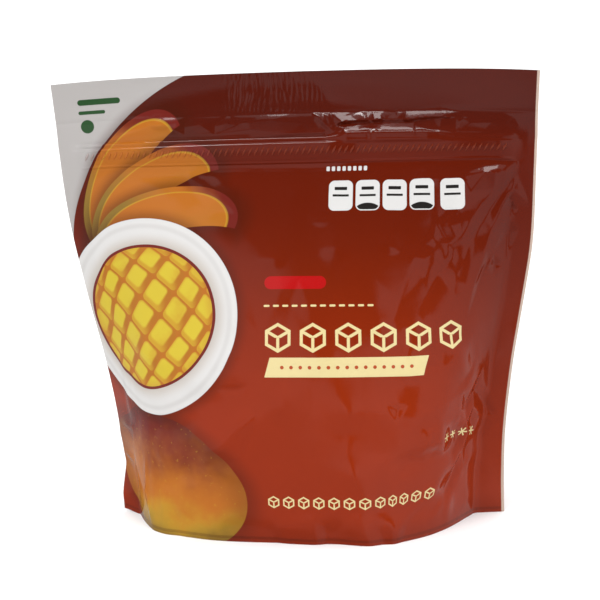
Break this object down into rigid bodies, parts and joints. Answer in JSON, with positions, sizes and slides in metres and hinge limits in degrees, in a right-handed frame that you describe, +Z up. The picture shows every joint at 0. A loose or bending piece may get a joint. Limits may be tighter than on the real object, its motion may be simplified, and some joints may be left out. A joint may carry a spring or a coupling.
{
  "type": "stand-up zip pouch of frozen fruit",
  "caption": "Shut stand-up pouch of frozen fruit chunks, with side fins, a zip strip, a heat-sealed top flap and a gusset folded into an oval foot.",
  "frame": {"origin": "on the floor, below the middle of the pouch", "axes": "+Z up, the front faces -Y, +X to the right seen from the front"},
  "size_m": [0.216, 0.0843, 0.203],
  "materials": {
    "film": "gloss"
  },
  "bodies": {
    "root": {"pouch": "film"}
  },
  "joints": []
}
